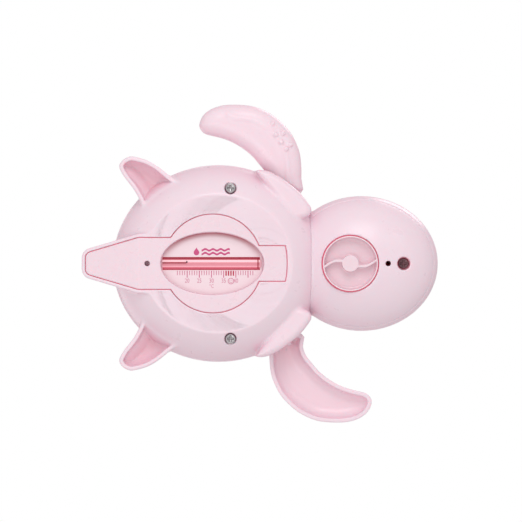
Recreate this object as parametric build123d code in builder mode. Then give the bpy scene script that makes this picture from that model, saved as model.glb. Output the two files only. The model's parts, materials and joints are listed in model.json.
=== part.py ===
from build123d import *
import math
import os

os.makedirs("parts", exist_ok=True)

# ---------------------------------------------------------------- driving dimensions (mm)
# Frame: X toward the head, Y toward the left flipper, Z up. The belly rests on Z = 0.
FIT = 0.3                 # gap between pieces that come apart or move
RUN = 0.05                # radial gap of a running fit
WALL = 2.0                # moulded shell thickness

BODY_X = -20.6            # middle of the oval body
BODY_A = 50.4             # half length of the body
BODY_B = 47.0             # half width of the body
SEAM_Z = 22.0             # level where upper and lower body shells meet
LOW_C = 31.2              # vertical half axis of the lower shell (cut flat at the belly)
UP_C = 28.0               # vertical half axis of the upper shell
LIP = 0.5                 # upper shell stands out this much over the lower one

HEAD_X = 48.5
HEAD_A = 37.0
HEAD_B = 32.6
HEAD_C = 24.0
HEAD_Z = 26.0
HEAD_SEAM_Z = 18.0

SHAFT_X = 11.8            # flipper axle, across the body
SHAFT_Z = 22.0
SHAFT_R = 1.5
SHAFT_HALF = 38.0
HUB_R = 7.4               # flipper hub
HUB_IN = 29.0
SOCKET_R = 10.1           # round socket the hub turns in
SOCKET_FLOOR = 28.5
BLADE_LOW = -5.5          # convex side of the blade, from the axle
BLADE_HIGH = 2.5          # rim of the blade, from the axle
BLADE_WALL = 2.0

POD_LOW = 6.2
POD_TOP = 35.0
FIN_LOW = 10.0
FIN_WALL = 2.0

INSERT_X = -23.0          # thermometer insert
INSERT_R = 23.5
INSERT_TOP = 8.2
PLATE_BACK_X = -49.6
TAIL_HALF = 12.3
TAIL_END = -84.0
TAIL_END_HALF = 5.4
TAIL_BEND_X = -58.6
TAIL_RISE = 4.6
TAIL_THICK = 5.0
TAB_HALF = 8.4
TAB_END = 12.4
TAB_TOP = 3.2
TRAY_RIM = 1.6
BELLY_GAP = 0.3           # insert sits this far inside the belly face
WINDOW_X = -23.3
WINDOW_A = 24.8
WINDOW_B = 15.1
TUBE_R = 2.8
TUBE_Z = 4.9

KNOB_X = 42.8
KNOB_R = 13.2
KNOB_HOLE_R = 13.7
KNOB_LOW = 3.0
KNOB_TOP = 8.6
KNOB_HUB_R = 4.0
WEB = 0.9

ARBOR_R = 2.0
PIN_R = 1.0
MODULE = 0.8
CASE_LOW = 12.4
CASE_TOP = 32.4
CASE_WALL = 1.2
CASE_R_BACK = 13.0
CASE_R_FRONT = 17.0
POST_Y = 9.0              # posts in the head that carry the case
POST_R = 2.0

CROWN_TEETH = 24
OUT_TEETH = 10
CROWN_PINION_TEETH = 10
MID_TEETH = 22
MID_PINION_TEETH = 9
GREAT_TEETH = 37
CROWN_FACE_Y = 9.4        # where the output pinion stands over the crown teeth

SCREW_X = -14.6           # two belly screws
SCREW_Y = 36.0
HEAD_SCREW_X = 68.4
HEAD_DRAIN_X = 60.9
TAIL_DRAIN_X = -54.4


# ---------------------------------------------------------------- small helpers
def ellipsoid(x, z, a, b, c):
    """Ellipsoid with half axes a, b, c standing on (x, 0, z)."""
    ball = Solid.make_sphere(a)
    egg = scale(ball, by=(1, b / a, c / a))
    return egg.moved(Location((x, 0, z)))


def slab(z_low, z_high, x_low=-200.0, x_high=200.0, half=200.0):
    """Plain block used for cutting at levels."""
    block = Solid.make_box(x_high - x_low, 2 * half, z_high - z_low)
    return block.moved(Location((x_low, -half, z_low)))


def column(x, y, r, z_low, z_high):
    """Upright cylinder."""
    return Solid.make_cylinder(r, z_high - z_low, Plane((x, y, z_low)))


def cross_rod(r, y_low, y_high):
    """Cylinder on the flipper axle."""
    return Solid.make_cylinder(r, y_high - y_low, Plane((SHAFT_X, y_low, SHAFT_Z), z_dir=(0, 1, 0)))


def gear_points(teeth, phase, tip=0.75, root=1.15):
    """Corners of a spur gear: four per tooth, a tooth centred on the phase angle (degrees)."""
    pitch_r = MODULE * teeth / 2
    step = 360 / teeth
    corners = []
    for i in range(teeth):
        middle = phase + i * step
        for radius, turn in (
            (pitch_r - MODULE * root, -0.30),
            (pitch_r + MODULE * tip, -0.13),
            (pitch_r + MODULE * tip, 0.13),
            (pitch_r - MODULE * root, 0.30),
        ):
            angle = math.radians(middle + turn * step)
            corners.append((radius * math.cos(angle), radius * math.sin(angle)))
    return corners


def prism(face, z_low, z_high):
    """Upright extrusion of a flat sketch drawn on the XY plane."""
    return extrude(face.moved(Location((0, 0, z_low))), z_high - z_low, dir=(0, 0, 1), mode=Mode.PRIVATE)


# Envelopes shared by the shells.
body_low_out = ellipsoid(BODY_X, SEAM_Z, BODY_A, BODY_B, LOW_C)
body_low_in = ellipsoid(BODY_X, SEAM_Z, BODY_A - WALL, BODY_B - WALL, LOW_C - WALL)
body_up_out = ellipsoid(BODY_X, SEAM_Z, BODY_A + LIP, BODY_B + LIP, UP_C)
body_up_in = ellipsoid(BODY_X, SEAM_Z, BODY_A - WALL, BODY_B - WALL, UP_C - WALL)
body_whole = (body_low_out & slab(-60, SEAM_Z)) + (body_up_out & slab(SEAM_Z, 80))
head_out = ellipsoid(HEAD_X, HEAD_Z, HEAD_A, HEAD_B, HEAD_C)
head_in = ellipsoid(HEAD_X, HEAD_Z, HEAD_A - WALL, HEAD_B - WALL, HEAD_C - WALL)


# ---------------------------------------------------------------- flat outlines
def insert_face(grow):
    """Round plate, tail and front tab of the thermometer insert, grown by a distance."""
    with BuildSketch() as outline:
        with Locations((INSERT_X, 0)):
            Circle(INSERT_R)
        with BuildLine():
            Polyline(
                (INSERT_X, TAIL_HALF),
                (TAIL_BEND_X, TAIL_HALF),
                (TAIL_END, TAIL_END_HALF),
                (TAIL_END, -TAIL_END_HALF),
                (TAIL_BEND_X, -TAIL_HALF),
                (INSERT_X, -TAIL_HALF),
                close=True,
            )
        make_face()
        fillet(outline.vertices().group_by(Axis.X)[0], 4.6)
        with BuildLine():
            ThreePointArc((TAB_END - 1.5, -TAB_HALF), (TAB_END, 0), (TAB_END - 1.5, TAB_HALF))
            Polyline(
                (TAB_END - 1.5, TAB_HALF),
                (INSERT_X, TAB_HALF),
                (INSERT_X, -TAB_HALF),
                (TAB_END - 1.5, -TAB_HALF),
            )
        make_face()
        if grow:
            offset(amount=grow)
    return outline.sketch


def window_face(shrink):
    """Oval window of the insert."""
    with BuildSketch() as oval:
        with Locations((WINDOW_X, 0)):
            Ellipse(WINDOW_A - shrink, WINDOW_B - shrink)
    return oval.sketch


def tail_profile(drop, top, front):
    """Side outline of tail and plate: flat under the belly, rising behind the bend."""
    low = BELLY_GAP - drop
    with BuildSketch(Plane.XZ) as side:
        with BuildLine():
            Polyline(
                (front, low),
                (TAIL_BEND_X, low),
                (TAIL_END - 4, low + TAIL_RISE * (TAIL_END - 4 - TAIL_BEND_X) / (TAIL_END - TAIL_BEND_X)),
                (TAIL_END - 4, TAIL_RISE + TAIL_THICK + top),
                (TAIL_BEND_X, TAIL_THICK + top),
                (front, TAIL_THICK + top),
                close=True,
            )
        make_face()
    return extrude(side.sketch, 40, both=True, mode=Mode.PRIVATE)


def inset_curve(edge, inset, samples):
    """Points along an outline curve, moved to its inner side by a distance."""
    points = []
    for i in range(samples + 1):
        spot = edge.position_at(i / samples)
        along = edge.tangent_at(i / samples)
        points.append((spot.X - along.Y * inset, spot.Y + along.X * inset))
    return points


def blade_face(inset):
    """Plan of the swimming blade, measured from the axle; it sweeps back from the hub."""
    rim = Edge.make_spline(
        [
            Vector(-8.9, -43.5),
            Vector(-17.1, -54.5),
            Vector(-27.6, -60.7),
            Vector(-38.6, -63.9),
            Vector(-41.0, -69.8),
            Vector(-34.8, -75.2),
            Vector(-22.4, -76.3),
            Vector(-10.8, -73.9),
            Vector(-1.7, -67.4),
            Vector(5.8, -56.5),
            Vector(7.4, -43.5),
        ],
        tangents=[Vector(-0.45, -1.0), Vector(0.0, 1.0)],
    )
    points = inset_curve(rim, inset, 24)
    with BuildSketch() as plan:
        with BuildLine():
            Spline(*points)
            Line(points[-1], points[0])
        make_face()
    return plan.sketch


def pod_face():
    """Shoulder fender over the hub of the right flipper."""
    with BuildSketch() as lens:
        with BuildLine():
            Spline((-2.2, -44.2), (8.4, -41.9), (18.2, -34.5), (24.0, -25.4))
            Line((24.0, -25.4), (14.0, -20.5))
            Line((14.0, -20.5), (-2.2, -41.5))
            Line((-2.2, -41.5), (-2.2, -44.2))
        make_face()
    return lens.sketch


def fin_face(inset):
    """Plan of the right hind fin; its root runs into the body."""
    rim = Edge.make_spline(
        [
            Vector(-54.0, -24.0),
            Vector(-61.4, -36.4),
            Vector(-67.4, -46.5),
            Vector(-61.4, -51.0),
            Vector(-52.8, -48.5),
            Vector(-40.0, -38.0),
        ]
    )
    points = inset_curve(rim, inset, 20)
    with BuildSketch() as leaf:
        with BuildLine():
            Spline(*points)
            Line(points[-1], points[0])
        make_face()
    return leaf.sketch


def mirror_y(shape):
    """The same shape on the left side."""
    return shape.mirror(Plane.XZ)


right_pod = prism(pod_face(), POD_LOW, POD_TOP)
left_pod = mirror_y(right_pod)
right_fin = prism(fin_face(0), FIN_LOW, SEAM_Z)
right_fin_hollow = prism(fin_face(FIN_WALL), FIN_LOW - 1, SEAM_Z - WALL)
with BuildSketch() as case_plan:
    with Locations((SHAFT_X, 0)):
        Circle(CASE_R_BACK)
    with Locations((KNOB_X, 0)):
        Circle(CASE_R_FRONT)
    make_hull()
neck_hole = prism(offset(case_plan.sketch, FIT + 0.3), CASE_LOW - 0.6, CASE_TOP + 0.6)
case_room = offset(case_plan.sketch, -CASE_WALL)

tray = prism(insert_face(FIT + TRAY_RIM), 0, 14) & tail_profile(0.0, WALL + FIT, 0.0)
tray = tray & slab(0, 14, -100, -40)
pocket_wall = prism(insert_face(FIT + TRAY_RIM), 0.5, INSERT_TOP + FIT + WALL) & body_low_out
plate_pocket = prism(insert_face(FIT), -5, INSERT_TOP + FIT) & slab(-5, 20, PLATE_BACK_X - FIT, 2.0)
tab_pocket = prism(insert_face(FIT), -5, TAB_TOP + FIT) & slab(-5, 20, 0, 20)
tail_pocket = prism(insert_face(FIT), -5, 14) & tail_profile(6.0, FIT, -30.0)

# ---------------------------------------------------------------- lower body shell
with BuildPart() as lower_shell:
    add(body_low_out)
    for turn in (False, True):
        add(mirror_y(right_pod) if turn else right_pod)
        add(mirror_y(right_fin) if turn else right_fin)
    # tail tray, following the rise of the tail
    add(tray)
    add(slab(0, SEAM_Z), mode=Mode.INTERSECT)
    # hollow inside, leaving the belly floor
    add(body_low_in & slab(WALL, SEAM_Z + 1), mode=Mode.SUBTRACT)
    # pocket walls round the insert, screw posts and hub sockets, kept inside the outer skin
    add(pocket_wall)
    for side in (-1, 1):
        add(column(SCREW_X, side * SCREW_Y, 3.8, 1.0, SEAM_Z) & body_low_out)
        wall_y = side * SOCKET_FLOOR
        socket = cross_rod(SOCKET_R + WALL, min(wall_y, 46 * side) - 1.6, max(wall_y, 46 * side) + 1.6)
        add(socket & body_low_out & slab(0, SEAM_Z))
    # pocket for the plate, the tab and the tail
    for cutter in (plate_pocket, tab_pocket, tail_pocket):
        add(cutter, mode=Mode.SUBTRACT)
    # sockets, axle bearings, neck opening
    for side in (-1, 1):
        add(cross_rod(SOCKET_R, min(side * SOCKET_FLOOR, side * 60), max(side * SOCKET_FLOOR, side * 60)),
            mode=Mode.SUBTRACT)
    add(cross_rod(SHAFT_R + RUN, -60, 60), mode=Mode.SUBTRACT)
    add(neck_hole, mode=Mode.SUBTRACT)
    # hollow hind fins, open underneath
    for turn in (False, True):
        hollow = right_fin_hollow - body_low_out
        add(mirror_y(hollow) if turn else hollow, mode=Mode.SUBTRACT)
    # screw counterbores and clearance holes
    for side in (-1, 1):
        add(column(SCREW_X, side * SCREW_Y, 2.9, -1, 5.4), mode=Mode.SUBTRACT)
        add(column(SCREW_X, side * SCREW_Y, 1.5, 5, SEAM_Z + 1), mode=Mode.SUBTRACT)
lower_shell.part.label = "lower_shell"

# ---------------------------------------------------------------- upper body shell
with BuildPart() as upper_shell:
    add(body_up_out)
    for turn in (False, True):
        add(mirror_y(right_pod) if turn else right_pod)
    add(slab(SEAM_Z, 80), mode=Mode.INTERSECT)
    add(body_up_in & slab(SEAM_Z - 1, 80), mode=Mode.SUBTRACT)
    for side in (-1, 1):
        add(column(SCREW_X, side * SCREW_Y, 3.8, SEAM_Z, 60) & body_up_out)
        wall_y = side * SOCKET_FLOOR
        socket = cross_rod(SOCKET_R + WALL, min(wall_y, 46 * side) - 1.6, max(wall_y, 46 * side) + 1.6)
        add(socket & body_up_out & slab(SEAM_Z, 60))
    for side in (-1, 1):
        add(cross_rod(SOCKET_R, min(side * SOCKET_FLOOR, side * 60), max(side * SOCKET_FLOOR, side * 60)),
            mode=Mode.SUBTRACT)
        add(column(SCREW_X, side * SCREW_Y, 1.25, SEAM_Z - 1, 31), mode=Mode.SUBTRACT)
    add(cross_rod(SHAFT_R + RUN, -60, 60), mode=Mode.SUBTRACT)
    add(neck_hole, mode=Mode.SUBTRACT)
upper_shell.part.label = "upper_shell"

# ---------------------------------------------------------------- head shells
with BuildPart() as head_bottom:
    add(head_out)
    add(slab(0, HEAD_SEAM_Z), mode=Mode.INTERSECT)
    add(body_whole, mode=Mode.SUBTRACT)
    add(head_in, mode=Mode.SUBTRACT)
    # well for the winding knob, and the screw post
    add(column(KNOB_X, 0, KNOB_HOLE_R + 1.6, 0, KNOB_TOP + 0.6 + 1.6) & head_out)
    add(column(HEAD_SCREW_X, 0, 5.0, 0, HEAD_SEAM_Z) & head_out)
    add(column(KNOB_X, 0, KNOB_HOLE_R, -1, KNOB_TOP + 0.6), mode=Mode.SUBTRACT)
    add(column(KNOB_X, 0, ARBOR_R + FIT, -1, 20), mode=Mode.SUBTRACT)
    add(column(HEAD_SCREW_X, 0, 3.15, -1, 11.6), mode=Mode.SUBTRACT)
    add(column(HEAD_SCREW_X, 0, 1.5, 10, 20), mode=Mode.SUBTRACT)
    add(column(HEAD_DRAIN_X, 0, 1.3, -1, 12), mode=Mode.SUBTRACT)
    add(neck_hole, mode=Mode.SUBTRACT)
    # the clockwork case stands on two posts
    for side in (-1, 1):
        add(column(KNOB_X, side * POST_Y, POST_R, KNOB_TOP + 1.6, CASE_LOW))
head_bottom.part.label = "head_bottom"

with BuildPart() as head_top:
    add(head_out)
    add(slab(HEAD_SEAM_Z, 80), mode=Mode.INTERSECT)
    add(body_whole, mode=Mode.SUBTRACT)
    add(head_in, mode=Mode.SUBTRACT)
    add(column(HEAD_SCREW_X, 0, 3.8, HEAD_SEAM_Z, 60) & head_out)
    add(column(HEAD_SCREW_X, 0, 1.25, HEAD_SEAM_Z - 1, 29), mode=Mode.SUBTRACT)
    add(neck_hole, mode=Mode.SUBTRACT)
head_top.part.label = "head_top"

# ---------------------------------------------------------------- flippers
blade = prism(blade_face(0), BLADE_LOW, BLADE_HIGH)
blade_end = Solid.make_box(80, 60, 40).moved(Location((-60, -105.5, -20)))
blade_hollow = prism(blade_face(BLADE_WALL), BLADE_LOW + BLADE_WALL, BLADE_HIGH + 1) & blade_end
hub_rod = Solid.make_cylinder(HUB_R, 19.0, Plane((0, -HUB_IN - 19.0, 0), z_dir=(0, 1, 0)))
hub_bore = Solid.make_cylinder(SHAFT_R, SHAFT_HALF + 1, Plane((0, -SHAFT_HALF, 0), z_dir=(0, 1, 0)))

with BuildPart() as flipper:
    add(blade)
    fillet(flipper.faces().sort_by(Axis.Z)[0].edges().filter_by(GeomType.BSPLINE), 3.2)
    add(blade_hollow, mode=Mode.SUBTRACT)
    add(hub_rod)
    add(hub_bore, mode=Mode.SUBTRACT)

on_axle = Location((SHAFT_X, 0, SHAFT_Z))
right_blade = flipper.part.moved(on_axle)
left_blade = flipper.part.mirror(Plane.XZ).rotate(Axis.Y, 180).moved(on_axle)
with BuildPart() as right_flipper:
    add(right_blade)
right_flipper.part.label = "right_flipper"

with BuildPart() as left_flipper:
    add(left_blade)
left_flipper.part.label = "left_flipper"

with BuildPart() as flipper_shaft:
    add(cross_rod(SHAFT_R, -SHAFT_HALF, SHAFT_HALF))
flipper_shaft.part.label = "flipper_shaft"

# ---------------------------------------------------------------- clockwork train
MID_X = SHAFT_X + 12.68
MID_Y = 1.74
mid_from_crown = math.degrees(math.atan2(MID_Y, MID_X - SHAFT_X))
great_from_mid = math.degrees(math.atan2(-MID_Y, KNOB_X - MID_X))


def spur(teeth, phase, x, y, z_low, z_high):
    """Spur gear standing on Z."""
    with BuildSketch() as wheel:
        with BuildLine():
            Polyline(*gear_points(teeth, phase), close=True)
        make_face()
    return prism(wheel.sketch, z_low, z_high).moved(Location((x, y, 0)))


with BuildPart() as output_pinion:
    with BuildSketch(Plane((SHAFT_X, CROWN_FACE_Y + 1.0, SHAFT_Z), x_dir=(1, 0, 0), z_dir=(0, -1, 0))):
        with BuildLine():
            Polyline(*gear_points(OUT_TEETH, -90 + 180 / OUT_TEETH), close=True)
        make_face()
    extrude(amount=2.0)
    add(cross_rod(2.6, CROWN_FACE_Y - 4.0, CROWN_FACE_Y - 1.0))
    add(cross_rod(SHAFT_R, 0, 20), mode=Mode.SUBTRACT)
output_pinion.part.label = "output_pinion"

crown_pinion = spur(CROWN_PINION_TEETH, mid_from_crown, SHAFT_X, 0, 13.9, 15.8)
mid_spur = spur(MID_TEETH, mid_from_crown + 180 + 180 / MID_TEETH, MID_X, MID_Y, 13.9, 15.5)
mid_pinion = spur(MID_PINION_TEETH, great_from_mid, MID_X, MID_Y, 19.2, 22.4)
great_spur = spur(GREAT_TEETH, great_from_mid + 180 + 180 / GREAT_TEETH, KNOB_X, 0, 19.6, 21.6)

with BuildPart() as crown_wheel:
    add(column(SHAFT_X, 0, 10.4, 15.8, 17.2))
    add(crown_pinion)
    with BuildSketch(Plane((SHAFT_X, 0, 17.0))):
        with PolarLocations(9.4, CROWN_TEETH):
            Rectangle(2.0, 0.9)
    extrude(amount=1.7)
    add(column(SHAFT_X, 0, PIN_R + RUN, 10, 30), mode=Mode.SUBTRACT)
crown_wheel.part.label = "crown_wheel"

with BuildPart() as crown_pin:
    add(column(SHAFT_X, 0, PIN_R, CASE_LOW + 0.2, 19.6))
crown_pin.part.label = "crown_pin"

with BuildPart() as intermediate_wheel:
    add(mid_spur)
    add(column(MID_X, MID_Y, 2.2, 15.5, 19.2))
    add(mid_pinion)
    add(column(MID_X, MID_Y, PIN_R + RUN, 10, 30), mode=Mode.SUBTRACT)
intermediate_wheel.part.label = "intermediate_wheel"

with BuildPart() as intermediate_pin:
    add(column(MID_X, MID_Y, PIN_R, CASE_LOW + 0.2, CASE_TOP - 0.2))
intermediate_pin.part.label = "intermediate_pin"

with BuildPart() as great_wheel:
    add(great_spur)
    add(column(KNOB_X, 0, 4.2, 17.6, 19.6))
    add(column(KNOB_X, 0, ARBOR_R + RUN, 10, 30), mode=Mode.SUBTRACT)
great_wheel.part.label = "great_wheel"

with BuildPart() as ratchet_wheel:
    with BuildSketch(Plane((KNOB_X, 0, 22.0))):
        with BuildLine():
            saw = []
            for i in range(12):
                for radius, turn in ((4.4, 0.0), (5.6, 0.0)):
                    angle = math.radians(30 * i + turn)
                    saw.append((radius * math.cos(angle), radius * math.sin(angle)))
            Polyline(*saw, close=True)
        make_face()
    extrude(amount=1.4)
    add(column(KNOB_X, 0, ARBOR_R, 20, 30), mode=Mode.SUBTRACT)
ratchet_wheel.part.label = "ratchet_wheel"

with BuildPart() as click_pawl:
    with BuildSketch(Plane((KNOB_X, 0, 21.6))):
        with BuildLine():
            Polyline((6.0, -1.2), (6.6, -1.8), (11.0, -1.0), (11.0, 1.8), (9.0, 1.8), close=True)
        make_face()
    extrude(amount=1.4)
click_pawl.part.label = "click_pawl"

with BuildPart() as winding_arbor:
    add(column(KNOB_X, 0, ARBOR_R, KNOB_LOW + 2.4, CASE_TOP - 0.4))
winding_arbor.part.label = "winding_arbor"

with BuildPart() as mainspring:
    # flat spiral of spring strip, six turns
    with BuildSketch(Plane((KNOB_X, 0, 24.4))):
        with BuildLine():
            out_edge = []
            in_edge = []
            for i in range(6 * 16 + 1):
                angle = 2 * math.pi * i / 16
                radius = 4.0 + 1.6 * i / 16
                out_edge.append(((radius + 0.35) * math.cos(angle), (radius + 0.35) * math.sin(angle)))
                in_edge.append(((radius - 0.35) * math.cos(angle), (radius - 0.35) * math.sin(angle)))
            Spline(*out_edge)
            Spline(*in_edge)
            Line(out_edge[0], in_edge[0])
            Line(out_edge[-1], in_edge[-1])
        make_face()
    extrude(amount=5.6)
mainspring.part.label = "mainspring"

with BuildPart() as winding_knob:
    add(column(KNOB_X, 0, KNOB_R, KNOB_LOW, KNOB_TOP))
    edge = winding_knob.edges().group_by(Axis.Z)[0]
    fillet(edge, 0.5)
    add(column(KNOB_X, 0, KNOB_R - 1.3, KNOB_LOW - 1, KNOB_TOP - 1.3), mode=Mode.SUBTRACT)
    add(column(KNOB_X, 0, KNOB_HUB_R, KNOB_LOW + 0.2, KNOB_TOP))
    # two curved finger webs, each the half-turn image of the other
    with BuildSketch(Plane((KNOB_X, 0, KNOB_LOW + 0.5))):
        for turn in (0, 180):
            with BuildLine(Plane.XY.rotated((0, 0, turn))) as rib:
                ThreePointArc((-3.0, -1.3), (-7.4, -1.2), (-12.4, 2.6))
            trace(line_width=WEB)
    extrude(amount=KNOB_TOP - KNOB_LOW - 1.0)
    add(column(KNOB_X, 0, ARBOR_R, KNOB_LOW + 2.4, 20), mode=Mode.SUBTRACT)
winding_knob.part.label = "winding_knob"

# ---------------------------------------------------------------- clockwork case
with BuildPart() as motor_case_bottom:
    add(prism(case_plan.sketch, CASE_LOW, SHAFT_Z))
    add(prism(case_room, CASE_LOW + CASE_WALL, SHAFT_Z + 1), mode=Mode.SUBTRACT)
    add(column(KNOB_X, 0, ARBOR_R + RUN, 0, 30), mode=Mode.SUBTRACT)
    add(column(SHAFT_X, 0, PIN_R, CASE_LOW + 0.2, 30), mode=Mode.SUBTRACT)
    add(column(MID_X, MID_Y, PIN_R, CASE_LOW + 0.2, 30), mode=Mode.SUBTRACT)
    add(cross_rod(SHAFT_R + RUN, -30, 30), mode=Mode.SUBTRACT)
motor_case_bottom.part.label = "motor_case_bottom"

with BuildPart() as motor_case_top:
    add(prism(case_plan.sketch, SHAFT_Z, CASE_TOP))
    add(prism(case_room, SHAFT_Z - 1, CASE_TOP - CASE_WALL), mode=Mode.SUBTRACT)
    add(column(KNOB_X, 0, ARBOR_R + RUN, 0, 60), mode=Mode.SUBTRACT)
    add(column(MID_X, MID_Y, PIN_R, 0, CASE_TOP - 0.2), mode=Mode.SUBTRACT)
    add(cross_rod(SHAFT_R + RUN, -30, 30), mode=Mode.SUBTRACT)
motor_case_top.part.label = "motor_case_top"


# ---------------------------------------------------------------- screws
def screw(x, y, z_low, head_r, head_h, length):
    """Cross-recessed self-tapping screw driven upward from below."""
    with BuildPart() as one:
        add(column(x, y, head_r, z_low, z_low + head_h))
        fillet(one.edges().group_by(Axis.Z)[0], 0.5)
        add(column(x, y, 1.2, z_low + head_h, z_low + head_h + length))
        for width, depth in ((2.8, 0.8), (0.8, 2.8)):
            add(slab(z_low - 1, z_low + 1.2, x - width / 2, x + width / 2, depth / 2).moved(
                Location((0, y, 0))), mode=Mode.SUBTRACT)
    return one.part


belly_screws = Compound(
    label="belly_screws",
    children=[screw(SCREW_X, side * SCREW_Y, 3.4, 2.4, 2.0, 22.0) for side in (-1, 1)],
)
head_screw_solid = screw(HEAD_SCREW_X, 0, 9.6, 2.6, 2.0, 15.0)
with BuildPart() as head_screw:
    add(head_screw_solid)
head_screw.part.label = "head_screw"

# ---------------------------------------------------------------- thermometer insert
insert_plate = prism(insert_face(0), BELLY_GAP, INSERT_TOP) & slab(-5, 20, PLATE_BACK_X, 1.7)
insert_tab = prism(insert_face(0), BELLY_GAP, TAB_TOP) & slab(-5, 20, -5.0, 20)
insert_tail = prism(insert_face(0), 0, 14) & tail_profile(0.0, 0.0, -40.0)
window_hole = prism(window_face(0.0), -1, 1.5)
lens_seat = prism(window_face(1.2), 1.4, 2.4)
chamber = prism(window_face(0.0), 2.3, INSERT_TOP + 1) & slab(-1, 20, -48.0, 0.6)
lens_solid = prism(window_face(FIT / 2), 0.7, 1.5)
plate_solid = prism(window_face(0.1), 4.0, 5.0) & slab(-1, 20, -47.9, 0.5)
back_solid = prism(window_face(0.1), 7.2, INSERT_TOP) & slab(-1, 20, -47.9, 0.5)

with BuildPart() as insert_frame:
    for shape in (insert_plate, insert_tab, insert_tail):
        add(shape)
    # window, seat for the lens, and the chamber for plate and tube
    for cutter in (window_hole, lens_seat, chamber):
        add(cutter, mode=Mode.SUBTRACT)
    add(column(TAIL_DRAIN_X, 0, 1.3, -1, 12), mode=Mode.SUBTRACT)
insert_frame.part.label = "insert_frame"

with BuildPart() as window_lens:
    add(lens_solid)
window_lens.part.label = "window_lens"

with BuildPart() as scale_plate:
    add(plate_solid)
    add(slab(3, 6, WINDOW_X - 23.9, WINDOW_X + 22.8, TUBE_R + 0.3), mode=Mode.SUBTRACT)
scale_plate.part.label = "scale_plate"

tube_axis = Plane((WINDOW_X - 23.4, 0, TUBE_Z), z_dir=(1, 0, 0))
with BuildPart() as glass_tube:
    add(Solid.make_cylinder(TUBE_R, 45.4, tube_axis))
    fillet(glass_tube.edges(), 1.6)
    add(Solid.make_cylinder(0.9, 41.0, tube_axis.offset(2.2)), mode=Mode.SUBTRACT)
glass_tube.part.label = "glass_tube"

with BuildPart() as liquid_column:
    add(Solid.make_cylinder(0.9, 9.0, tube_axis.offset(2.2)))
liquid_column.part.label = "liquid_column"

with BuildPart() as insert_back:
    add(back_solid)
    add(slab(TUBE_Z, 7.3, WINDOW_X - 18.5, WINDOW_X - 17, 2.0))
    add(slab(TUBE_Z, 7.3, WINDOW_X + 15.5, WINDOW_X + 17, 2.0))
    add(Solid.make_cylinder(TUBE_R, 60, tube_axis.offset(-5)), mode=Mode.SUBTRACT)
insert_back.part.label = "insert_back"

# ---------------------------------------------------------------- export
for piece in (
    lower_shell, upper_shell, head_bottom, head_top, right_flipper, left_flipper, flipper_shaft,
    output_pinion, crown_wheel, crown_pin, intermediate_wheel, intermediate_pin, great_wheel,
    ratchet_wheel, click_pawl, winding_arbor, mainspring, winding_knob, motor_case_bottom,
    motor_case_top, head_screw, insert_frame, window_lens, scale_plate, glass_tube, liquid_column,
    insert_back,
):
    export_step(piece.part, "parts/" + piece.part.label + ".step")
export_step(belly_screws, "parts/belly_screws.step")
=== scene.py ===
import json
import math

import bpy
import numpy as np
from mathutils import Matrix, Vector


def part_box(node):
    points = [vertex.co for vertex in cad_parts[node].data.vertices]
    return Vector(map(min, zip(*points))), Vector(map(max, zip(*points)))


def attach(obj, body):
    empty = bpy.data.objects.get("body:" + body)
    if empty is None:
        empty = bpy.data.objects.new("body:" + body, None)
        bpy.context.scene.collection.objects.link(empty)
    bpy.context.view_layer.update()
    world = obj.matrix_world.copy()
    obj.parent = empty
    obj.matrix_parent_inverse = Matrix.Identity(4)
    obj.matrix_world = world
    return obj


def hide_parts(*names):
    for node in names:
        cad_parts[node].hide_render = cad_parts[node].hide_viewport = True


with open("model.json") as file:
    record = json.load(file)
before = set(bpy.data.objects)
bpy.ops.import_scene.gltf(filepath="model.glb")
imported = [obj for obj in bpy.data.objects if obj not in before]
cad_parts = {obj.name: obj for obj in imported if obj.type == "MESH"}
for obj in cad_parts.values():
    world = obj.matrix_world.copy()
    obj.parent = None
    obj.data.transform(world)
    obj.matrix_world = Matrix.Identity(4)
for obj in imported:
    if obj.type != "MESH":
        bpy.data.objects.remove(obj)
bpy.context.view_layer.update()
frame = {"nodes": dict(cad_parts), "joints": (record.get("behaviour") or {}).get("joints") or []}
scene = bpy.context.scene
nodes = frame["nodes"]
MM = 0.001


# ------------------------------ places taken from the CAD, in mm
def low(name):
    """Lower corner of a CAD node's box."""
    return [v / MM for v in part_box(name)[0]]


def high(name):
    """Upper corner of a CAD node's box."""
    return [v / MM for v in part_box(name)[1]]


def joint_place(name):
    """A point on a joint's axis."""
    for joint in frame["joints"]:
        if joint["name"] == name:
            return [v / MM for v in joint["pos_m"]]


SX, _, SZ = joint_place("flipper_spin")            # flipper axle
KX = joint_place("winder_turn")[0]                 # winding knob
SEAM = high("lower_shell")[2]                      # body seam level
BX = low("upper_shell")[0] + 50.9                  # middle of the oval body
BA, BB = 50.4, high("upper_shell")[1] - 0.5        # body half length and half width
LC, UC = 31.2, high("upper_shell")[2] - SEAM       # vertical half axes, lower and upper
HX = high("head_top")[0] - 37.0                    # middle of the head
HA, HB = 37.0, high("head_top")[1]
HZ = 26.0
HC = high("head_top")[2] - HZ
HEAD_SEAM = low("head_top")[2]
TIP_X = low("insert_frame")[0]                     # end of the insert's tail
PLATE_LOW = low("insert_frame")[2]
INSERT_X = -23.0                                   # middle of the insert's round plate
PLATE_X0, PLATE_X1 = -49.6, 1.7                    # where the thick plate ends, towards tail and tab
PLATE_BACK, TAB_BACK, TAIL_BACK = 8.2, 3.2, 5.0    # how deep each stretch of the insert reaches
GAP = 0.3                                          # round the insert in its pocket
WALL = 2.0
HUB_SPACE_R, HUB_SPACE_Y = 10.1, 28.5              # round spaces for the flipper hubs, from here outwards
CUP_R, CUP_Y = 12.1, 26.9                          # walls round those spaces
AXLE_HOLE_R = 1.55
POST_R, PILOT_R, CLEARANCE_R = 3.8, 1.25, 1.5      # screw posts, threaded holes, plain holes
SCREW_X = (low("belly_screws")[0] + high("belly_screws")[0]) / 2
SCREW_Y = high("belly_screws")[1] - 2.4            # to each side of the middle
HEAD_SCREW_X = (low("head_screw")[0] + high("head_screw")[0]) / 2
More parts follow.
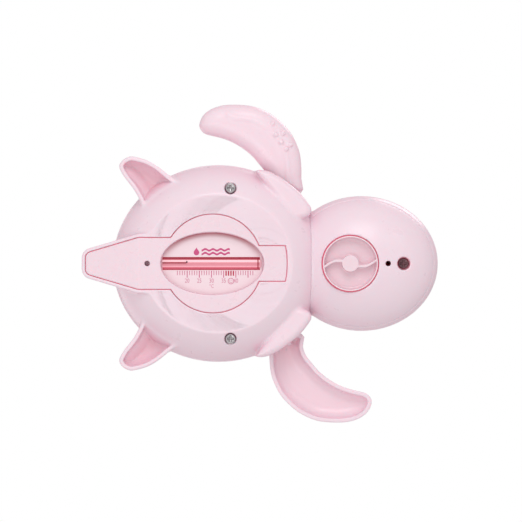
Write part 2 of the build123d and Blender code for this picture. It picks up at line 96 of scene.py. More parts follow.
KNOB_LOW, KNOB_TOP = low("winding_knob")[2], high("winding_knob")[2]
KNOB_R = high("winding_knob")[1]
LENS_LOW, LENS_HIGH = low("window_lens"), high("window_lens")
WX = (LENS_LOW[0] + LENS_HIGH[0]) / 2              # middle of the oval window
WA, WB = (LENS_HIGH[0] - LENS_LOW[0]) / 2 + 0.15, LENS_HIGH[1] + 0.15      # its half axes
PLATE_Z = low("scale_plate")[2]
TUBE_LOW, TUBE_HIGH = low("glass_tube"), high("glass_tube")
TUBE_Z = (TUBE_LOW[2] + TUBE_HIGH[2]) / 2
TUBE_R = (TUBE_HIGH[2] - TUBE_LOW[2]) / 2
COLUMN_END = high("liquid_column")[0]


# ------------------------------ distance shapes, in mm
def ball(x, y, z, centre, half):
    """Ellipsoid; negative inside."""
    px, py, pz = [(v - c) / h for v, c, h in zip((x, y, z), centre, half)]
    k0 = np.sqrt(px * px + py * py + pz * pz) + 1e-6
    k1 = np.sqrt((px / half[0]) ** 2 + (py / half[1]) ** 2 + (pz / half[2]) ** 2) + 1e-9
    return k0 * (k0 - 1.0) / k1


def joined(a, b, k):
    """Union with a fillet of about k."""
    h = np.clip(0.5 + 0.5 * (b - a) / k, 0.0, 1.0)
    return b * (1 - h) + a * h - k * h * (1 - h)


def common(a, b, k=0.01):
    """Overlap of both, its edge rounded by about k."""
    return -joined(-a, -b, k)


def less(a, b, k=0.01):
    """a with b taken out, the edge rounded by about k."""
    return -joined(-a, b, k)


def smooth_loop(points, per):
    """Closed smooth outline through the points, with so many steps between neighbours."""
    p = np.array(points, float)
    out = []
    for i in range(len(p)):
        a, b, c, d = p[i - 1], p[i], p[(i + 1) % len(p)], p[(i + 2) % len(p)]
        for t in np.arange(per) / per:
            square, cube = (2 * a - 5 * b + 4 * c - d) * t**2, (3 * b - a - 3 * c + d) * t**3
            out.append(0.5 * (2 * b + (c - a) * t + square + cube))
    return np.array(out)


def outline(x, y, points):
    """Flat distance to a closed outline; negative inside."""
    best = np.full(np.broadcast(x, y).shape, 1e9)
    inside = np.ones(best.shape)
    for i in range(len(points)):
        ax, ay = points[i]
        bx, by = points[i - 1]
        ex, ey = bx - ax, by - ay
        wx, wy = x - ax, y - ay
        t = np.clip((wx * ex + wy * ey) / (ex * ex + ey * ey + 1e-12), 0, 1)
        best = np.minimum(best, (wx - ex * t) ** 2 + (wy - ey * t) ** 2)
        a, b, c = y >= ay, y < by, ex * wy > ey * wx
        inside = np.where((a & b & c) | (~a & ~b & ~c), -inside, inside)
    return inside * np.sqrt(best)


def slab(flat, z, z_low, z_high, round_low=0.0, round_high=0.0):
    """A flat outline given height, with rounded lower and upper edges."""
    middle = (z_low + z_high) / 2
    r = np.where(z < middle, round_low, round_high)
    w = np.abs(z - middle) - (z_high - z_low) / 2 + r
    f = flat + r
    return np.minimum(np.maximum(f, w), 0) + np.hypot(np.maximum(f, 0), np.maximum(w, 0)) - r


def disc(x, y, cx, cy, r):
    """Flat distance to a circle; negative inside."""
    return np.hypot(x - cx, y - cy) - r


# ------------------------------ distance field to mesh
CORNERS = [(i, j, k) for i in (0, 1) for j in (0, 1) for k in (0, 1)]


def skin(shape, lo, hi, step):
    """Points and quads of the surface where shape is zero, all in mm."""
    axes = [np.arange(a - step, b + 2 * step, step) for a, b in zip(lo, hi)]
    x, y, z = axes[0][:, None, None], axes[1][None, :, None], axes[2][None, None, :]
    f = np.broadcast_to(shape(x, y, z), [len(a) for a in axes]).astype(np.float32)
    n = [len(a) - 1 for a in axes]
    total = np.zeros(n + [3], np.float32)
    count = np.zeros(n, np.float32)
    for a in range(3):
        for c in [c for c in CORNERS if c[a] == 0]:
            d = list(c)
            d[a] = 1
            f0 = f[c[0]:c[0] + n[0], c[1]:c[1] + n[1], c[2]:c[2] + n[2]]
            f1 = f[d[0]:d[0] + n[0], d[1]:d[1] + n[1], d[2]:d[2] + n[2]]
            cross = (f0 < 0) != (f1 < 0)
            t = np.where(cross, f0 / np.where(cross, f0 - f1, 1), 0)
            for b in range(3):
                total[..., b] += np.where(cross, t if b == a else c[b], 0)
            count += cross
    used = count > 0
    index = np.full(n, -1, np.int64)
    index[used] = np.arange(used.sum())
    cell = np.argwhere(used)
    middle = total[used] / count[used][:, None]
    points = np.stack([axes[a][0] + step * (cell[:, a] + middle[:, a]) for a in range(3)], 1)
    quads = []
    for a in range(3):
        b, c = (a + 1) % 3, (a + 2) % 3
        f0 = np.moveaxis(f, (a, b, c), (0, 1, 2))
        ix = np.moveaxis(index, (a, b, c), (0, 1, 2))
        s0, s1 = f0[:-1, 1:-1, 1:-1], f0[1:, 1:-1, 1:-1]
        for flip in (False, True):
            hit = np.argwhere((s0 < 0) & (s1 >= 0) if not flip else (s0 >= 0) & (s1 < 0))
            i, j, k = hit[:, 0], hit[:, 1], hit[:, 2]
            q = np.stack([ix[i, j, k], ix[i, j + 1, k], ix[i, j + 1, k + 1], ix[i, j, k + 1]], 1)
            quads.append(q[:, ::-1] if flip else q)
    quads = np.concatenate(quads)
    quads = quads[(quads >= 0).all(1)]

    def at(p):
        return shape(p[:, 0], p[:, 1], p[:, 2])

    h = step * 0.05                                # three short moves bring the points onto the surface
    for _ in range(3):
        value = at(points)
        slope = np.stack([(at(points + h * e) - at(points - h * e)) / (2 * h) for e in np.eye(3)], 1)
        size = (slope**2).sum(1) + 1e-6
        move = -slope * (value / size)[:, None]
        length = np.sqrt((move**2).sum(1))[:, None] + 1e-9
        points = points + move * np.minimum(1, 0.4 * step / length)
    return points, quads


def settled(name, mesh, body, replaces=()):
    """A finished object from a ready mesh, riding on a body."""
    mesh.name = name
    obj = bpy.data.objects.new(name, mesh)
    scene.collection.objects.link(obj)
    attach(obj, body)
    if replaces:
        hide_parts(*replaces)


def piece(name, points, faces, material, body, replaces=(), smooth=True, depth=None, painted_glow=None):
    """A finished mesh object from mm points, with what the ABS reads at each point."""
    mesh = bpy.data.meshes.new(name)
    mesh.from_pydata((np.asarray(points) * MM).tolist(), [], [list(map(int, q)) for q in faces])
    mesh.polygons.foreach_set("use_smooth", [smooth] * len(mesh.polygons))
    for label, values in (("depth", depth), ("painted_glow", painted_glow)):
        if values is not None:
            stored = mesh.attributes.new(label, "FLOAT", "POINT").data
            stored.foreach_set("value", np.asarray(values, np.float32))
    mesh.materials.append(material)
    mesh.update()
    settled(name, mesh, body, replaces)


def moulded(name, shape, lo, hi, step, material, body, replaces=(), outside=None, painted_gap_glow=None):
    """A moulded piece from its distance shape. The outside tells how far a point lies inside the outer form,
    which the ABS turns into painted shade, and the gap function gives the painted glow added in narrow gaps."""
    points, quads = skin(shape, lo, hi, step)
    x, y, z = points.T
    depth = None if outside is None else np.clip(-outside(x, y, z), 0, 30)
    painted_glow = None if painted_gap_glow is None else painted_gap_glow(x, y, z)
    piece(name, points, quads, material, body, replaces, depth=depth, painted_glow=painted_glow)


# ------------------------------ materials
def linear(code):
    """sRGB hex to the linear colour the shader wants."""
    parts = [int(code[i:i + 2], 16) / 255 for i in (1, 3, 5)]
    return tuple(c / 12.92 if c <= 0.04045 else ((c + 0.055) / 1.055) ** 2.4 for c in parts) + (1.0,)


def add(tree, kind, inputs=None, **settings):
    """Adds a node, sets its options, and sets or links its inputs."""
    made = tree.nodes.new(kind)
    for key, value in settings.items():
        setattr(made, key, value)
    for key, value in (inputs or {}).items():
        if isinstance(value, bpy.types.NodeSocket):
            tree.links.new(value, made.inputs[key])
        else:
            made.inputs[key].default_value = value
    return made


def shader(name):
    """A new empty material and its tree."""
    material = bpy.data.materials.new(name)
    material.use_nodes = True
    material.node_tree.nodes.clear()
    return material, material.node_tree


def finish_shader(tree, surface):
    """Joins the last node to the material's output."""
    add(tree, "ShaderNodeOutputMaterial", {"Surface": surface.outputs[0]})


def glossy_abs(name, light, deep, rough=0.3):
    """Injection-moulded ABS in pale pink: a hard gloss with a faint ripple from the mould, light sinking a
    little way in. Painted shade: walls that face sideways and deep pockets are painted a richer, darker
    pink. Painted glow: down in narrow gaps a faint rose-red emission is added where they would go dark."""
    material, tree = shader(name)
    place = add(tree, "ShaderNodeTexCoord").outputs["Object"]
    cloud = add(tree, "ShaderNodeTexNoise", {"Vector": place, "Scale": 38.0, "Detail": 2.0})
    tint = add(tree, "ShaderNodeMix", {
        0: cloud.outputs["Fac"], 6: linear(light[0]), 7: linear(light[1])}, data_type="RGBA")
    far = add(tree, "ShaderNodeAttribute", attribute_name="depth")
    # painted shade: the more a surface faces sideways, the more of a richer pink it is given
    normal = add(tree, "ShaderNodeTexCoord").outputs["Normal"]
    facing = add(tree, "ShaderNodeSeparateXYZ", {0: normal}).outputs["Z"]
    level = add(tree, "ShaderNodeMath", {0: facing}, operation="ABSOLUTE")
    wall = add(tree, "ShaderNodeMapRange", {0: level.outputs[0], 1: 0.75, 2: 0.0, 3: 0.0, 4: 0.6})
    side_shade_tint = add(tree, "ShaderNodeMix", {
        0: wall.outputs[0], 6: tint.outputs[2], 7: linear("#e9b3c7")}, data_type="RGBA")
    # painted shade: the deeper a point lies in a pocket, the more of the darker colour it is given
    recess_shade_amount = add(tree, "ShaderNodeMapRange", {0: far.outputs["Fac"], 1: 0.8, 2: 13.0, 3: 0.0, 4: 1.0})
    colour = add(tree, "ShaderNodeMix", {
        0: recess_shade_amount.outputs[0], 6: side_shade_tint.outputs[2], 7: linear(deep)}, data_type="RGBA")
    # painted glow: a faint rose emission, read from the mesh, in narrow gaps that would otherwise go dark
    painted_glow = add(tree, "ShaderNodeAttribute", attribute_name="painted_glow")
    smear = add(tree, "ShaderNodeTexNoise", {"Vector": place, "Scale": 160.0, "Detail": 3.0})
    gloss = add(tree, "ShaderNodeMapRange", {
        0: smear.outputs["Fac"], 1: 0.3, 2: 0.7, 3: rough - 0.03, 4: rough + 0.04})
    ripple = add(tree, "ShaderNodeTexNoise", {"Vector": place, "Scale": 240.0, "Detail": 1.0})
    bump = add(tree, "ShaderNodeBump", {
        "Height": ripple.outputs["Fac"], "Strength": 0.03, "Distance": 0.0004})
    body = add(tree, "ShaderNodeBsdfPrincipled", {
        "Base Color": colour.outputs[2],
        "Roughness": gloss.outputs[0],
        "Normal": bump.outputs[0],
        "IOR": 1.54,
        "Subsurface Weight": 0.2,
        "Subsurface Radius": (1.0, 0.35, 0.4),
        "Subsurface Scale": 0.003,
        "Emission Color": linear("#a83a50"),
        "Emission Strength": painted_glow.outputs["Fac"],
    })
    finish_shader(tree, body)
    return material


def acetal(name, light, grit=900.0, painted_glow=0.0):
    """Moulded acetal or ABS without gloss, such as the clockwork's wheels: satin and faintly mottled. The
    glow is a painted glow: emission in its own colour that stands in for light reaching it where it lies
    deep."""
    material, tree = shader(name)
    place = add(tree, "ShaderNodeTexCoord").outputs["Object"]
    mottle = add(tree, "ShaderNodeTexNoise", {"Vector": place, "Scale": grit, "Detail": 4.0})
    tint = add(tree, "ShaderNodeMix", {
        0: mottle.outputs["Fac"], 6: linear(light[0]), 7: linear(light[1])}, data_type="RGBA")
    bump = add(tree, "ShaderNodeBump", {"Height": mottle.outputs["Fac"], "Strength": 0.1, "Distance": 0.0002})
    body = add(tree, "ShaderNodeBsdfPrincipled", {
        "Base Color": tint.outputs[2], "Normal": bump.outputs[0], "Roughness": 0.42, "IOR": 1.48,
        "Emission Color": linear(light[0]), "Emission Strength": painted_glow})
    finish_shader(tree, body)
    return material


def turned_steel(name, light, rough=0.32):
    """Zinc-plated or drawn steel: grey metal with fine turning marks."""
    material, tree = shader(name)
    place = add(tree, "ShaderNodeTexCoord").outputs["Object"]
    stretch = add(tree, "ShaderNodeMapping", {"Vector": place, "Scale": (1.0, 1.0, 12.0)})
    marks = add(tree, "ShaderNodeTexNoise", {"Vector": stretch.outputs[0], "Scale": 900.0, "Detail": 3.0})
    tint = add(tree, "ShaderNodeMix", {
        0: marks.outputs["Fac"], 6: linear(light[0]), 7: linear(light[1])}, data_type="RGBA")
    gloss = add(tree, "ShaderNodeMapRange", {0: marks.outputs["Fac"], 3: rough - 0.08, 4: rough + 0.12})
    bump = add(tree, "ShaderNodeBump", {"Height": marks.outputs["Fac"], "Strength": 0.15, "Distance": 0.0001})
    body = add(tree, "ShaderNodeBsdfPrincipled", {
        "Base Color": tint.outputs[2], "Roughness": gloss.outputs[0], "Normal": bump.outputs[0],
        "Metallic": 1.0})
    finish_shader(tree, body)
    return material


def clear(name, tone, ior, rough):
    """Clear glass or clear moulded window, letting light straight through so what lies behind stays lit.
    Only the side that light enters by shines, or a low view would turn the far side into a mirror."""
    material, tree = shader(name)
    place = add(tree, "ShaderNodeTexCoord").outputs["Object"]
    wave = add(tree, "ShaderNodeTexNoise", {"Vector": place, "Scale": 120.0, "Detail": 1.0})
    bump = add(tree, "ShaderNodeBump", {"Height": wave.outputs["Fac"], "Strength": 0.02, "Distance": 0.0003})
    through = add(tree, "ShaderNodeBsdfTransparent", {"Color": linear(tone)})
    gloss = add(tree, "ShaderNodeBsdfGlossy", {
        "Color": (1, 1, 1, 1), "Roughness": rough, "Normal": bump.outputs[0]})
    edge = add(tree, "ShaderNodeFresnel", {"IOR": ior, "Normal": bump.outputs[0]})
    back = add(tree, "ShaderNodeNewGeometry").outputs["Backfacing"]
    outside = add(tree, "ShaderNodeMath", {0: edge.outputs[0], 1: back}, operation="SUBTRACT", use_clamp=True)
    both = add(tree, "ShaderNodeMixShader", {
        0: outside.outputs[0], 1: through.outputs[0], 2: gloss.outputs[0]})
    finish_shader(tree, both)
    return material


def ink(name, code, rough=0.45):
    """Screen-printed ink: flat colour with a slightly uneven film."""
    material, tree = shader(name)
    place = add(tree, "ShaderNodeTexCoord").outputs["Object"]
    film = add(tree, "ShaderNodeTexNoise", {"Vector": place, "Scale": 1500.0, "Detail": 2.0})
    gloss = add(tree, "ShaderNodeMapRange", {0: film.outputs["Fac"], 3: rough - 0.1, 4: rough + 0.1})
    body = add(tree, "ShaderNodeBsdfPrincipled", {
        "Base Color": linear(code), "Roughness": gloss.outputs[0], "IOR": 1.5})
    finish_shader(tree, body)
    return material


# The third colour of each gloss ABS is the painted shade for its pockets and gaps.
pink_abs = glossy_abs("pink_abs_gloss", ("#f7dfe8", "#f4dbe5"), "#e9b0bc")
insert_abs = glossy_abs("pink_abs_insert", ("#f5dce5", "#f2d8e1"), "#dd8f9e", rough=0.28)
knob_abs = glossy_abs("pink_abs_knob", ("#f6dde5", "#f3d8e0"), "#e6b0ba", rough=0.24)
white_acetal = acetal("natural_acetal", ("#ebe7dc", "#f4f1e8"))
grey_abs = acetal("grey_abs_case", ("#c6c8cc", "#d2d3d6"), grit=600.0)
zinc_screw = turned_steel("zinc_plated_steel", ("#8d8a8c", "#c6c3c4"))
# painted shade: a darker copy of the zinc for the head screw, which sits deep in its hole
shaded_zinc_screw = turned_steel("zinc_steel_painted_shade", ("#584347", "#85686d"), rough=0.4)
drawn_steel = turned_steel("drawn_steel", ("#a3a5a9", "#c9cbce"), rough=0.25)
spring_steel = turned_steel("blued_spring_steel", ("#4c5058", "#7b8089"), rough=0.3)
tube_glass = clear("borosilicate_glass", "#fbe9ec", 1.47, 0.02)
clear_window = clear("clear_polystyrene", "#fffcfd", 1.25, 0.06)
red_spirit = ink("red_spirit", "#b82a48", 0.2)
rose_ink = ink("rose_ink", "#cf4f86")
pale_ink = ink("pale_rose_ink", "#d98aa6")
red_ink = ink("red_ink", "#c2264c")
black_ink = ink("black_ink", "#1c1618", 0.25)
white_ink = ink("white_ink", "#f4f1f2", 0.25)
# Back of the insert: its crimson colour and emission are painted shade and painted glow, giving the shaded
# slot round the tube its rose look.
rose_back_painted_glow = acetal("pink_abs_back_painted_glow", ("#b8455a", "#c4566a"), grit=300.0, painted_glow=0.55)


def banded_enamel():
    """Rose enamel fused along the back of the tube, with the look of the glass painted into its colour across
    the tube: crimson bands at the edges are painted shade, the pale bands beside the bore a painted
    highlight."""
    material, tree = shader("rose_enamel_painted_bands")
    place = add(tree, "ShaderNodeTexCoord").outputs["Object"]
    across = add(tree, "ShaderNodeSeparateXYZ", {0: place}).outputs["Y"]
    way = add(tree, "ShaderNodeMapRange", {0: across, 1: -0.0028, 2: 0.0028})
    ramp = add(tree, "ShaderNodeValToRGB", {0: way.outputs[0]})
    steps = ramp.color_ramp.elements
    # painted shade and painted highlight: crimson at the edges, pale highlight bands beside the bore
    for spot, code in (
        (0.0, "#93283c"), (0.12, "#b24456"), (0.18, "#c98088"), (0.22, "#fffafa"), (0.35, "#fdf4f4"),
        (0.42, "#e0b2b8"), (0.5, "#dba3ab"), (0.68, "#dca8b2"), (0.75, "#f6dbe0"), (0.82, "#d98593"),
        (1.0, "#b4455b"),
    ):
        end = [e for e in steps if abs(e.position - spot) < 1e-4]
        (end[0] if end else steps.new(spot)).color = linear(code)
    streak = add(tree, "ShaderNodeTexNoise", {"Vector": place, "Scale": 200.0, "Detail": 2.0})
    gloss = add(tree, "ShaderNodeMapRange", {0: streak.outputs["Fac"], 3: 0.2, 4: 0.4})
    # painted glow: the ramp's colour is also given as a faint emission to brighten the tube
    body = add(tree, "ShaderNodeBsdfPrincipled", {
        "Base Color": ramp.outputs[0], "Roughness": gloss.outputs[0], "IOR": 1.5,
        "Emission Color": ramp.outputs[0], "Emission Strength": 0.27})
    finish_shader(tree, body)
    return material


def shaded_plate():
    """White moulded plate behind the window, faintly mottled; along its upper edge a rose shade is painted,
    standing for the shadow that the rim of the opening throws on it."""
    material, tree = shader("white_plate_painted_rim_shade")
    place = add(tree, "ShaderNodeTexCoord").outputs["Object"]
    mottle = add(tree, "ShaderNodeTexNoise", {"Vector": place, "Scale": 500.0, "Detail": 4.0})
    tint = add(tree, "ShaderNodeMix", {
        0: mottle.outputs["Fac"], 6: linear("#f7eaed"), 7: linear("#faeff1")}, data_type="RGBA")
    oval = add(tree, "ShaderNodeMapping", {
        "Vector": place, "Location": (-WX / WA, 0, 0), "Scale": (1 / WA / MM, 1 / WB / MM, 0)})
    out = add(tree, "ShaderNodeVectorMath", {0: oval.outputs[0]}, operation="LENGTH")
    # painted shadow: rose along the upper edge of the oval window
    rim = add(tree, "ShaderNodeMapRange", {
        0: out.outputs["Value"], 1: 0.8, 2: 1.02}, interpolation_type="SMOOTHSTEP")
    up = add(tree, "ShaderNodeSeparateXYZ", {0: oval.outputs[0]}).outputs["Y"]
    upper = add(tree, "ShaderNodeMapRange", {0: up, 1: -0.1, 2: -0.8, 3: 0.06, 4: 1.0})
    painted_rim_shade = add(tree, "ShaderNodeMath", {0: rim.outputs[0], 1: upper.outputs[0]}, operation="MULTIPLY")
    colour = add(tree, "ShaderNodeMix", {
        0: painted_rim_shade.outputs[0], 6: tint.outputs[2], 7: linear("#b4505f")}, data_type="RGBA")
    body = add(tree, "ShaderNodeBsdfPrincipled", {
        "Base Color": colour.outputs[2], "Roughness": 0.42, "IOR": 1.48})
    finish_shader(tree, body)
    return material


enamel = banded_enamel()
plate_white = shaded_plate()

FINISH = {
    "output_pinion": white_acetal, "crown_wheel": white_acetal, "intermediate_wheel": white_acetal,
    "great_wheel": white_acetal, "motor_case_bottom": grey_abs, "motor_case_top": grey_abs,
    "flipper_shaft": drawn_steel, "crown_pin": drawn_steel, "intermediate_pin": drawn_steel,
    "winding_arbor": drawn_steel, "ratchet_wheel": drawn_steel, "click_pawl": drawn_steel,
    "mainspring": spring_steel, "belly_screws": zinc_screw, "head_screw": zinc_screw,
    "scale_plate": plate_white, "liquid_column": red_spirit, "glass_tube": tube_glass,
    "window_lens": clear_window, "insert_back": rose_back_painted_glow,
}                                                  # every other node is a pink moulding
for name in nodes:
    for piece_slot in nodes[name].material_slots:
        piece_slot.material = FINISH.get(name, pink_abs)

# ------------------------------ plan outlines, in mm
POD = smooth_loop([
    (-2.0, -43.6), (-1.0, -44.9), (3.4, -44.4), (8.4, -41.9), (13.6, -38.3), (18.4, -34.2), (22.0, -29.9),
    (24.2, -26.0), (22.4, -22.6), (16.0, -21.5), (10.0, -28.5), (3.4, -36.6)], 4)
FIN = smooth_loop([
    (-68.1, -46.4), (-66.9, -49.2), (-64.2, -51.0), (-60.8, -51.3), (-52.8, -48.7), (-44.5, -42.6),
    (-36.0, -34.0), (-44.0, -22.0), (-54.5, -24.5), (-59.0, -32.0), (-61.8, -36.6), (-66.0, -42.0)], 5)
FIN_REAR = [(-66.6, -45.0), (-56.5, -29.0), (-60.0, -20.0), (-80.0, -40.0)]     # strip along its rear edge
TAIL_BEND = TIP_X + 25.4
TAIL_ROUND = 3.0                                   # corner radius, outside the points below
TAIL = [(INSERT_X, 9.3), (TAIL_BEND + 0.4, 9.3), (TIP_X + TAIL_ROUND, 2.6), (TIP_X + TAIL_ROUND, -2.6),
        (TAIL_BEND + 0.4, -9.3), (INSERT_X, -9.3)]


def insert_plan(x, y):
    """Round plate, tail and front tab."""
    tail = outline(x, y, TAIL) - TAIL_ROUND
    front = high("insert_frame")[0] - 0.012 * y * y
    tab = np.maximum(np.maximum(np.abs(y) - 8.4, x - front), INSERT_X - x)
    return np.minimum(np.minimum(disc(x, y, INSERT_X, 0, high("insert_frame")[1]), tail), tab)


def rise(x):
    """How far tail and tray climb behind the bend."""
    return np.where(x < TAIL_BEND, (TAIL_BEND - x) * 0.181, 0.0)


def from_axle(x, z):
    """Distance from the flipper axle's centre line."""
    return np.hypot(x - SX, z - SZ)


def from_belly_screw(x, y):
    """Distance from the nearer belly screw's centre line."""
    return np.hypot(x - SCREW_X, np.abs(y) - SCREW_Y)


def cup(x, y, z, form):
    """Wall round each hub space, kept inside a form."""
    return np.maximum(np.maximum(from_axle(x, z) - CUP_R, CUP_Y - np.abs(y)), form)


# ------------------------------ lower shell
def lower_outer(x, y, z):
    """Belly half without its hollows: bowl, fins, pods and the tray under the tail, cut level below."""
    side = -np.abs(y)
    shell = ball(x, y, z, (BX, 0, SEAM), (BA, BB, LC))
    fin = slab(outline(x, side, FIN), z, 10.0, 30.0, 1.0)
    shell = joined(shell, fin, 2.0)
    pod = slab(outline(x, side, POD), z, 6.2, 40.0, 3.2)
    shell = joined(shell, pod, 1.8)
    tray = slab(insert_plan(x, y) - 1.9, z - rise(x), PLATE_LOW, 7.6, 0.6, 0.8)
    tray = np.maximum(tray, x + 40.0)
    shell = joined(shell, tray, 1.6)
    return common(shell, -z, 0.3)


def sockets(x, y, z):
    """Round spaces that the flipper hubs turn in."""
    return np.maximum(from_axle(x, z) - HUB_SPACE_R, HUB_SPACE_Y - np.abs(y))


def neck(x, y, z):
    """Opening for the clockwork between body and head."""
    t = np.clip((x - SX) / (KX - SX), 0, 1)
    flat = np.hypot(x - SX - t * (KX - SX), y) - (13.2 + 4.0 * t)
    return slab(flat, z, 12.2, 32.8)


def lower_shell(x, y, z):
    """Hollow belly half, with the insert's pocket, screw posts, hub spaces and hollow fins."""
    side = -np.abs(y)
    outer = lower_outer(x, y, z)
    plan = insert_plan(x, y)
    inner = np.maximum(ball(x, y, z, (BX, 0, SEAM), (BA - WALL, BB - WALL, LC - WALL)), WALL - z)
    pocket_wall = np.maximum(np.maximum(plan - 1.9, z - 10.5), outer)
    post = np.maximum(from_belly_screw(x, y) - POST_R, outer)
    d = less(outer, inner)
    d = np.minimum(np.minimum(d, pocket_wall), np.minimum(post, cup(x, y, z, outer)))
    plate_ends = np.maximum(PLATE_X0 - GAP - x, x - PLATE_X1 - GAP)
    plate = np.maximum(np.maximum(plan - GAP, z - PLATE_BACK - GAP), plate_ends)
    tab = np.maximum(np.maximum(plan - GAP, z - TAB_BACK - GAP), -x)
    tail = np.maximum(np.maximum(plan - GAP, z - TAIL_BACK - GAP - rise(x)), x + 30.0)
    pocket = np.minimum(np.minimum(plate, tab), tail)
    d = less(d, pocket, 0.25)
    d = less(d, sockets(x, y, z), 0.4)
    d = less(d, from_axle(x, z) - AXLE_HOLE_R)
    d = less(d, neck(x, y, z))
    flat = outline(x, side, FIN)
    rear = outline(x, side, FIN_REAR)
    hollow = np.maximum(flat + 2.0, z - 19.0 + 6.5 * np.exp(np.minimum(flat + 2.0, 0) / 2.2))
    hollow = np.maximum(hollow, z - 12.5 - 0.9 * np.maximum(rear, 0))
    hollow = np.maximum(hollow, -ball(x, y, z, (BX, 0, SEAM), (BA + 0.4, BB + 0.4, LC + 0.4)))
    d = less(d, hollow, 0.7)
    hole = from_belly_screw(x, y)
    d = less(d, np.maximum(hole - 2.9, z - 5.4), 0.3)
    d = less(d, hole - CLEARANCE_R)
    return np.maximum(d, z - SEAM)


def pocket_glow(x, y, z):
    """Painted glow at the bottom of the gap round the insert, plate, tab and tail alike."""
    plan = insert_plan(x, y)
    beyond = np.where(x < PLATE_X0 - GAP, TAIL_BACK + GAP + rise(x), PLATE_BACK + GAP)
    floor = np.where(x > PLATE_X1 + GAP, TAB_BACK + GAP, beyond)
    return 0.9 * ((plan > -1.2) & (plan < 0.6) & (z > floor - 0.8) & (z < floor + 0.4))


moulded("lower_shell_moulding", lower_shell, (-87, -53, -0.4), (28, 53, SEAM + 0.4), 0.62, pink_abs, "shell",
        ["lower_shell"], lower_outer, pocket_glow)


# ------------------------------ upper shell
def upper_outer(x, y, z):
    """Smooth dome with the upper halves of the pods."""
    side = -np.abs(y)
    dome = ball(x, y, z, (BX, 0, SEAM), (BA + 0.5, BB + 0.5, UC))
    pod = slab(outline(x, side, POD), z, 0.0, 35.0, 0.0, 3.2)
    return joined(dome, pod, 1.6)


SCUTES = [(BX, 0.0, 15.0)]                         # hexagons: middle and half width
for i in range(6):
    turn = math.radians(60 * i + 30)
    SCUTES.append((BX + 30 * math.cos(turn), 27 * math.sin(turn), 10.5))
RELIEF = 0.55                                      # how far they stand out


def upper_shell(x, y, z):
    """Hollow back with raised scutes, screw posts and hub spaces."""
    outer = upper_outer(x, y, z)
    relief = np.full(np.broadcast(x, y).shape, 99.0)
    for cx, cy, r in SCUTES:
        px, py = np.abs(x - cx), np.abs(y - cy)
        relief = np.minimum(relief, np.maximum(px * 0.866 + py * 0.5, py) - r)
    raised = RELIEF * np.clip(0.5 - relief / 1.6, 0, 1)
    shell = outer + RELIEF - raised
    lip = np.maximum(outer, z - SEAM - 1.8)
    shell = joined(shell, lip, 0.3)
    inner = ball(x, y, z, (BX, 0, SEAM), (BA - WALL, BB - WALL, UC - WALL - RELIEF))
    d = less(shell, inner)
    post = np.maximum(from_belly_screw(x, y) - POST_R, shell)
    d = np.minimum(d, np.minimum(post, cup(x, y, z, shell)))
    d = less(d, np.maximum(from_belly_screw(x, y) - PILOT_R, z - 31.0))
    d = less(d, sockets(x, y, z), 0.4)
    d = less(d, from_axle(x, z) - AXLE_HOLE_R)
    d = less(d, neck(x, y, z))
    return np.maximum(d, SEAM - z)


moulded("upper_shell_moulding", upper_shell, (-73, -49, SEAM - 0.4), (28, 49, SEAM + UC + 0.4), 0.8, pink_abs,
        "shell", ["upper_shell"], upper_outer)


# ------------------------------ head
WELL_R, WELL_FLOOR = 13.7, 9.2                     # well that the knob turns in
DRAIN_X, DRAIN_R = HEAD_SCREW_X - 7.5, 1.3
COUNTERBORE_R = 3.15


def head_outer(x, y, z):
    """Egg-shaped head, uncut."""
    return ball(x, y, z, (HX, 0, HZ), (HA, HB, HC))


def trunk(x, y, z):
    """Body form that the head is moulded round."""
    up = ball(x, y, z, (BX, 0, SEAM), (BA + 0.5, BB + 0.5, UC))
    down = ball(x, y, z, (BX, 0, SEAM), (BA, BB, LC))
    pods = slab(outline(x, -np.abs(y), POD), z, 6.2, 35.0, 3.2, 3.2)
    return np.minimum(np.where(z < SEAM, down, up), pods)


def head_shell(x, y, z):
    """Hollow head with a fillet where it meets the body, and its screw post."""
    inner = ball(x, y, z, (HX, 0, HZ), (HA - WALL, HB - WALL, HC - WALL))
    d = joined(head_outer(x, y, z), trunk(x, y, z) + 0.6, 2.4)
    d = less(d, inner)
    post = np.hypot(x - HEAD_SCREW_X, y) - np.where(z < HEAD_SEAM, 5.0, POST_R)
    return np.minimum(d, np.maximum(post, head_outer(x, y, z)))


def head_bottom(x, y, z):
    """Underside of the head: knob well, arbor hole, screw hole and drain."""
    d = head_shell(x, y, z)
    well = np.maximum(np.maximum(disc(x, y, KX, 0, WELL_R + 1.6), z - WELL_FLOOR - 1.6), head_outer(x, y, z))
    d = np.minimum(d, well)
    d = less(d, np.maximum(disc(x, y, KX, 0, WELL_R), z - WELL_FLOOR), 0.35)
    d = less(d, disc(x, y, KX, 0, 2.3))
    d = less(d, np.maximum(disc(x, y, HEAD_SCREW_X, 0, COUNTERBORE_R), z - 11.6), 0.3)
    d = less(d, disc(x, y, HEAD_SCREW_X, 0, CLEARANCE_R))
    d = less(d, np.maximum(disc(x, y, DRAIN_X, 0, DRAIN_R), z - 12), 0.3)
    d = less(d, trunk(x, y, z) + 0.2, 0.3)
    d = less(d, neck(x, y, z))
    return np.maximum(d, z - HEAD_SEAM + 0.05)


def head_top(x, y, z):
    """Top of the head, with the screw's threaded hole."""
    d = head_shell(x, y, z)
    d = less(d, np.maximum(disc(x, y, HEAD_SCREW_X, 0, PILOT_R), z - 29))
    d = less(d, trunk(x, y, z) + 0.2, 0.3)
    d = less(d, neck(x, y, z))
    return np.maximum(d, HEAD_SEAM + 0.05 - z)


